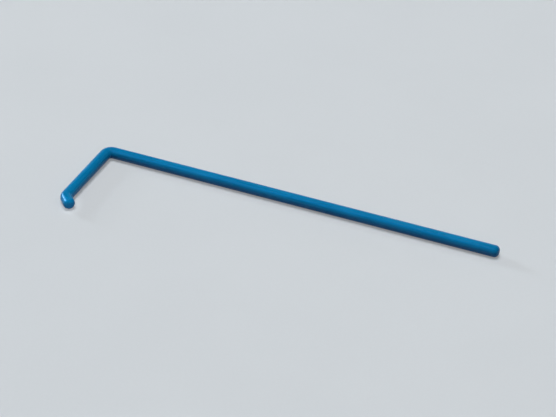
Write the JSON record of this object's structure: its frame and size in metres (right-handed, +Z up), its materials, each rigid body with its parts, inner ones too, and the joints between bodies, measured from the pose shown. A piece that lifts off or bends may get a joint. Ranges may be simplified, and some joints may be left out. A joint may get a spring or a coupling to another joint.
{
  "type": "cell spreader",
  "caption": "Blue moulded plastic rod bent into an L: a long round handle, a short straight blade for wiping cells over agar, and a turned-up toe.",
  "frame": {"origin": "on the surface it lies on, under the middle of the bounding box", "axes": "+Z up out of the surface it lies on, handle along +X from the main bend to its free end, blade along -Y from the main bend"},
  "size_m": [0.144, 0.0366, 0.004],
  "materials": {
    "plastic": "satin gloss moulded plastic, solid teal blue"
  },
  "bodies": {
    "root": {"spreader": "plastic"}
  },
  "joints": []
}
